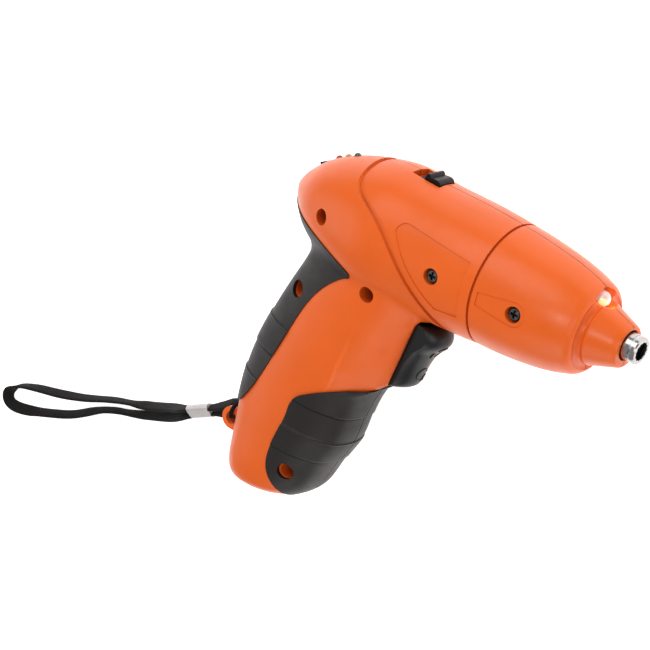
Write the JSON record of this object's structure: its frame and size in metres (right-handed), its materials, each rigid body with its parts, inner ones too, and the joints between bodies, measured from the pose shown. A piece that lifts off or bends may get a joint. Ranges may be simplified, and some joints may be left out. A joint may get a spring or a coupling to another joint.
{
  "type": "cordless screwdriver",
  "caption": "Pistol-grip cordless screwdriver with a hex bit socket, planetary gear train, rocker trigger, work light, soft grips and a wrist strap.",
  "frame": {"origin": "centre of the bit socket's mouth, on the spindle axis", "axes": "+X along the spindle out of the socket, +Y towards the top of the tool as it is held, +Z to its right side, which faces up as it lies on its left side"},
  "size_m": [0.3051, 0.198, 0.052],
  "materials": {
    "orange_shell": "satin",
    "soft_grip": "matt",
    "black_screw": "satin",
    "bright_steel": "polished",
    "spring_steel": "satin",
    "gear_steel": "satin",
    "motor_steel": "satin",
    "magnet": "matt",
    "bronze": "satin",
    "copper": "satin",
    "grey_nylon": "matt",
    "black_plastic": "satin",
    "clear_lamp": "gloss",
    "red_lamp": "gloss",
    "amber_lamp": "gloss",
    "green_lamp": "gloss",
    "circuit_board": "satin",
    "cell_wrap": "gloss",
    "strap_fabric": "matt"
  },
  "bodies": {
    "body": {"housing_right": "orange_shell", "housing_left": "orange_shell", "rear_grip_right": "soft_grip", "rear_grip_left": "soft_grip", "front_grip_right": "soft_grip", "front_grip_left": "soft_grip", "case_screws": "black_screw", "nose_screws": "black_screw", "barrel_screws": "black_screw", "spindle_bush": "bronze", "thrust_washer": "gear_steel", "ring_gear": "grey_nylon", "gearbox_case": "grey_nylon", "gearbox_plate": "gear_steel", "motor_can": "motor_steel", "motor_bush": "bronze", "motor_magnets": "magnet", "motor_end_cap": "black_plastic", "motor_collar": "black_plastic", "motor_screws": "black_screw", "trigger_pin": "gear_steel", "rocker_switch": "black_plastic", "light_switch": "black_plastic", "work_light": "clear_lamp", "gauge_board": "circuit_board", "gauge_lamp_red": "red_lamp", "gauge_lamp_amber": "amber_lamp", "gauge_lamp_green": "green_lamp", "battery_links": "bright_steel", "charge_jack": "black_plastic", "strap_sleeve": "bright_steel", "strap_loop": "strap_fabric", "tether_loop": "strap_fabric", "battery_cell_1": "cell_wrap", "battery_cell_2": "cell_wrap", "battery_cell_3": "cell_wrap", "battery_cell_4": "cell_wrap"},
    "spindle": {"bit_holder": "bright_steel", "bit_magnet": "magnet", "bit_retaining_ring": "spring_steel", "output_carrier": "gear_steel", "output_planet_pins": "gear_steel"},
    "output_planet_1": {"output_planet_1": "gear_steel"},
    "output_planet_2": {"output_planet_2": "gear_steel"},
    "output_planet_3": {"output_planet_3": "gear_steel"},
    "input_stage": {"input_carrier": "gear_steel", "input_planet_pins": "gear_steel"},
    "input_planet_1": {"input_planet_1": "gear_steel"},
    "input_planet_2": {"input_planet_2": "gear_steel"},
    "input_planet_3": {"input_planet_3": "gear_steel"},
    "rotor": {"motor_shaft": "gear_steel", "motor_pinion": "bronze", "armature": "motor_steel", "commutator": "copper"},
    "trigger": {"trigger": "black_plastic"},
    "light_slide": {"light_slide": "black_plastic"},
    "gauge_button": {"gauge_button": "black_plastic"}
  },
  "joints": [
    {"name": "spindle_spin", "type": "hinge", "parent": "body", "child": "spindle", "pos_m": [0, 0, 0], "axis": [1, 0, 0], "continuous": true},
    {"name": "output_planet_1_spin", "type": "hinge", "parent": "spindle", "child": "output_planet_1", "pos_m": [-0.046, 0.0081, 0], "axis": [1, 0, 0], "continuous": true},
    {"name": "output_planet_2_spin", "type": "hinge", "parent": "spindle", "child": "output_planet_2", "pos_m": [-0.046, -0.00405, 0.00702], "axis": [1, 0, 0], "continuous": true},
    {"name": "output_planet_3_spin", "type": "hinge", "parent": "spindle", "child": "output_planet_3", "pos_m": [-0.046, -0.00405, -0.00702], "axis": [1, 0, 0], "continuous": true},
    {"name": "input_stage_spin", "type": "hinge", "parent": "body", "child": "input_stage", "pos_m": [-0.052, 0, 0], "axis": [1, 0, 0], "continuous": true},
    {"name": "input_planet_1_spin", "type": "hinge", "parent": "input_stage", "child": "input_planet_1", "pos_m": [-0.057, 0.0081, 0], "axis": [1, 0, 0], "continuous": true},
    {"name": "input_planet_2_spin", "type": "hinge", "parent": "input_stage", "child": "input_planet_2", "pos_m": [-0.057, -0.00405, 0.00702], "axis": [1, 0, 0], "continuous": true},
    {"name": "input_planet_3_spin", "type": "hinge", "parent": "input_stage", "child": "input_planet_3", "pos_m": [-0.057, -0.00405, -0.00702], "axis": [1, 0, 0], "continuous": true},
    {"name": "rotor_spin", "type": "hinge", "parent": "body", "child": "rotor", "pos_m": [-0.08, 0, 0], "axis": [1, 0, 0], "continuous": true},
    {"name": "trigger_rock", "type": "hinge", "parent": "body", "child": "trigger", "pos_m": [-0.097, -0.041, 0], "axis": [0, 0, 1], "range_deg": [-4, 4], "stiffness_Nm_per_rad": 1.2},
    {"name": "light_slide_move", "type": "slide", "parent": "body", "child": "light_slide", "axis": [-1, 0, 0], "range_m": [0, 0.0025]},
    {"name": "gauge_button_press", "type": "slide", "parent": "body", "child": "gauge_button", "axis": [0.4695, -0.8829, 0], "range_m": [0, 0.0005], "stiffness_N_per_m": 2000}
  ],
  "couplings": [
    {"joint": "output_planet_1_spin", "follows": "spindle_spin", "ratio": -2.5},
    {"joint": "output_planet_2_spin", "follows": "spindle_spin", "ratio": -2.5},
    {"joint": "output_planet_3_spin", "follows": "spindle_spin", "ratio": -2.5},
    {"joint": "input_stage_spin", "follows": "spindle_spin", "ratio": 6},
    {"joint": "input_planet_1_spin", "follows": "spindle_spin", "ratio": -15},
    {"joint": "input_planet_2_spin", "follows": "spindle_spin", "ratio": -15},
    {"joint": "input_planet_3_spin", "follows": "spindle_spin", "ratio": -15},
    {"joint": "rotor_spin", "follows": "spindle_spin", "ratio": 36}
  ]
}
